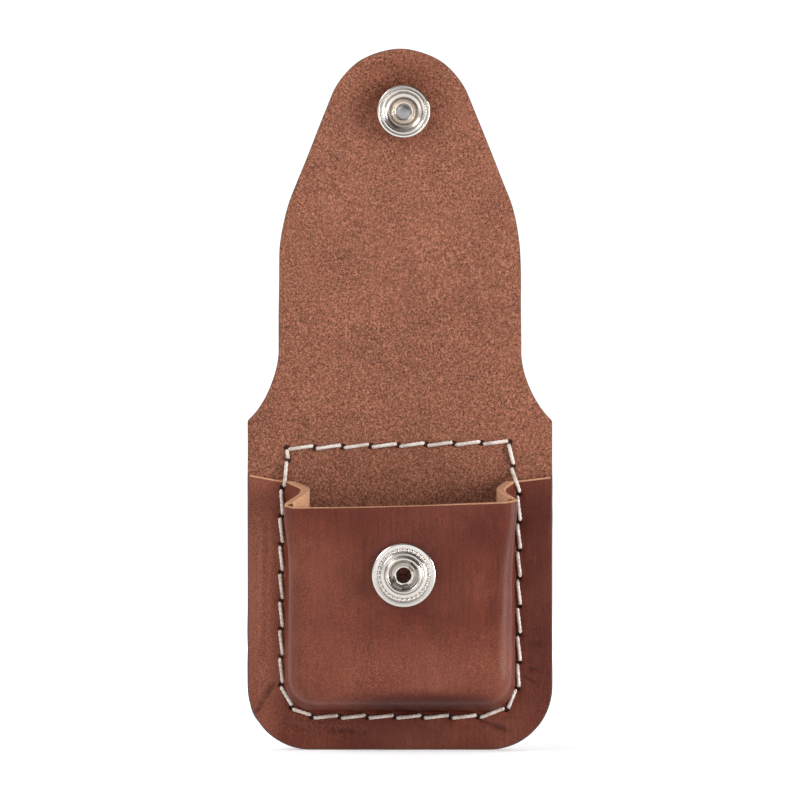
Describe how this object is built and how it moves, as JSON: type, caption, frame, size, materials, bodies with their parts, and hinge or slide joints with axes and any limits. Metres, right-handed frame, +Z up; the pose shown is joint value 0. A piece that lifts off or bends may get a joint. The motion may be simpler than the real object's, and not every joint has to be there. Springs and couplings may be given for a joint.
{
  "type": "snap-flap leather case",
  "caption": "Belt case with a moulded pocket, a folding flap closed by a ring-spring snap, a stitched seam and a belt loop on the back.",
  "frame": {"origin": "middle of the belt slot, on the rear face of the back panel", "axes": "+Z up along the case's height, -Y towards the pocket and the snap's stud, +Y towards the wearer, +X along the belt"},
  "size_m": [0.0578, 0.0271, 0.133],
  "materials": {
    "hide": "flesh side in front, smooth grain behind",
    "pocket_leather": "smooth grain, soft sheen",
    "thread": "twisted and waxed",
    "nickel": "bright nickel plate",
    "spring_wire": "drawn wire"
  },
  "bodies": {
    "case": {"back_panel": "hide", "pocket_front": "pocket_leather", "belt_loop": "pocket_leather", "needle_thread": "thread", "bobbin_thread": "thread", "snap_stud": "nickel", "stud_eyelet": "nickel"},
    "flap_crown": {"flap_crown": "hide"},
    "flap_tongue": {"flap_tongue": "hide", "socket_body": "nickel", "socket_ring": "nickel", "socket_spring": "spring_wire", "snap_cap": "nickel", "cap_post": "nickel"}
  },
  "joints": [
    {"name": "flap_back_fold", "type": "hinge", "parent": "case", "child": "flap_crown", "pos_m": [0, -0.0009, 0.03445], "axis": [1, 0, 0], "range_deg": [-20, 90]},
    {"name": "flap_front_fold", "type": "hinge", "parent": "flap_crown", "child": "flap_tongue", "pos_m": [0, -0.0009, 0.05555], "axis": [1, 0, 0], "range_deg": [-20, 90]}
  ]
}
